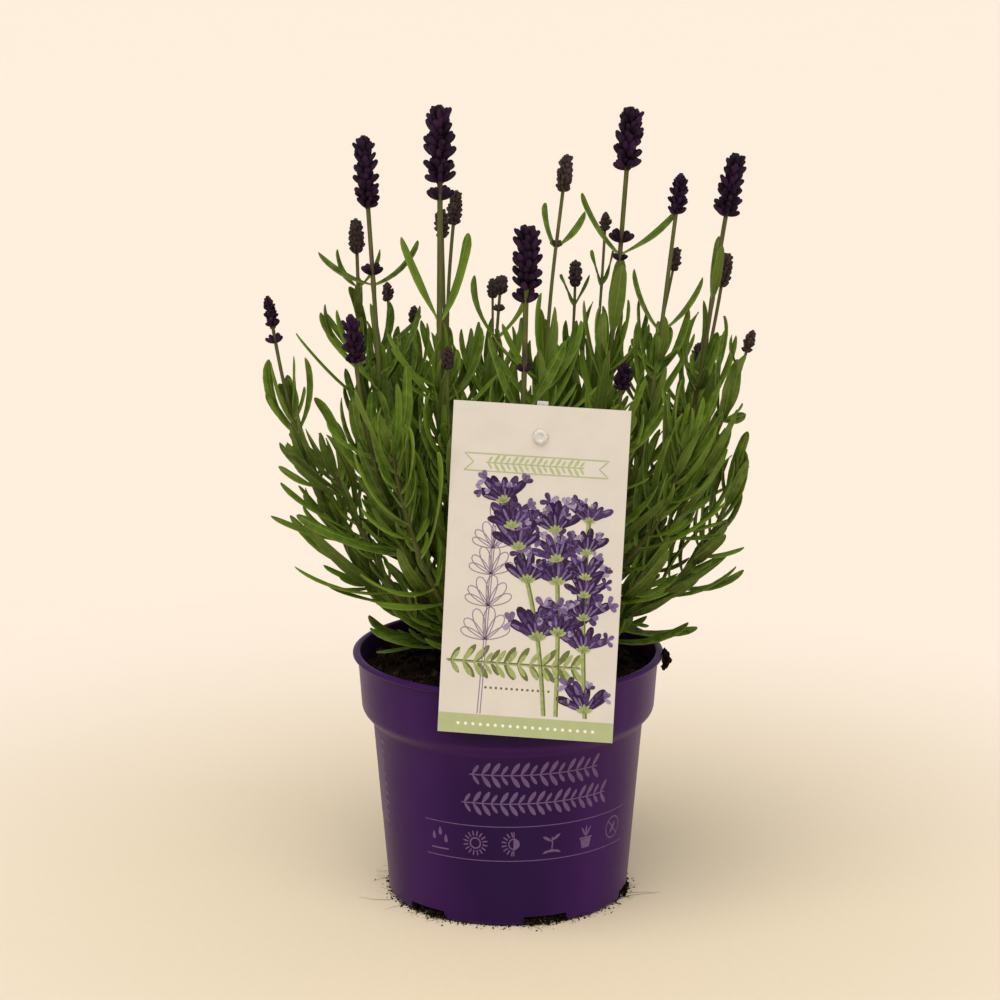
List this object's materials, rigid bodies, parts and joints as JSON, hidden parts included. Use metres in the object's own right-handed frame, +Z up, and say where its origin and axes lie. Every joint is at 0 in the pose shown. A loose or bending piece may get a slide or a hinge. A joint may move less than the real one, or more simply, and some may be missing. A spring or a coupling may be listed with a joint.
{
  "type": "potted lavender plant",
  "caption": "Young lavender in flower in a two-step round plastic nursery pot filled with peat, with a plain picture label on a clear stake.",
  "frame": {"origin": "centre of the pot's flat underside", "axes": "+Z up along the pot's axis, -Y towards the face of the label"},
  "size_m": [0.185, 0.1497, 0.3084],
  "materials": {
    "violet_plastic": "satin thin-walled injection-moulded polypropylene, dyed dark violet",
    "peat": "moist crumbly peat compost, matt",
    "bark": "young woody bark, matt",
    "leaf_green": "narrow grey-green leaves and green square stems, softly matt",
    "flower_violet": "dark violet downy calyces",
    "bud_grey_violet": "young spikes, grey-brown with violet tips",
    "card": null,
    "clear_plastic": "clear moulded plastic"
  },
  "bodies": {
    "root": {"pot": "violet_plastic", "soil": "peat", "root_crown": "bark", "plant_label": "card", "label_stake": "clear_plastic", "flowering_shoot_01": "leaf_green", "flowering_shoot_02": "leaf_green", "flowering_shoot_03": "leaf_green", "flowering_shoot_04": "leaf_green", "flowering_shoot_05": "leaf_green", "flowering_shoot_06": "leaf_green", "flowering_shoot_07": "leaf_green", "flowering_shoot_08": "leaf_green", "flowering_shoot_09": "leaf_green", "flowering_shoot_10": "leaf_green", "flowering_shoot_11": "leaf_green", "flowering_shoot_12": "leaf_green", "flowering_shoot_13": "leaf_green", "flowering_shoot_14": "leaf_green", "flowering_shoot_15": "leaf_green", "flowering_shoot_16": "leaf_green", "flowering_shoot_17": "leaf_green", "flowering_shoot_18": "leaf_green", "flowering_shoot_19": "leaf_green", "flowering_shoot_20": "leaf_green", "flowering_shoot_21": "leaf_green", "flowering_shoot_22": "leaf_green", "flowering_shoot_23": "leaf_green", "flowering_shoot_24": "leaf_green", "flower_spike_01": "bud_grey_violet", "flower_spike_02": "bud_grey_violet", "flower_spike_03": "flower_violet", "flower_spike_04": "flower_violet", "flower_spike_05": "flower_violet", "flower_spike_06": "bud_grey_violet", "flower_spike_07": "bud_grey_violet", "flower_spike_08": "flower_violet", "flower_spike_09": "bud_grey_violet", "flower_spike_10": "flower_violet", "flower_spike_11": "bud_grey_violet", "flower_spike_12": "bud_grey_violet", "flower_spike_13": "flower_violet", "flower_spike_14": "bud_grey_violet", "flower_spike_15": "flower_violet", "flower_spike_16": "bud_grey_violet", "flower_spike_17": "bud_grey_violet", "flower_spike_18": "flower_violet", "flower_spike_19": "bud_grey_violet", "flower_spike_20": "bud_grey_violet", "flower_spike_21": "bud_grey_violet", "flower_spike_22": "bud_grey_violet", "flower_spike_23": "bud_grey_violet", "flower_spike_24": "bud_grey_violet", "leafy_shoot_01": "leaf_green", "leafy_shoot_02": "leaf_green", "leafy_shoot_03": "leaf_green", "leafy_shoot_04": "leaf_green", "leafy_shoot_05": "leaf_green", "leafy_shoot_06": "leaf_green", "leafy_shoot_07": "leaf_green"}
  },
  "joints": []
}
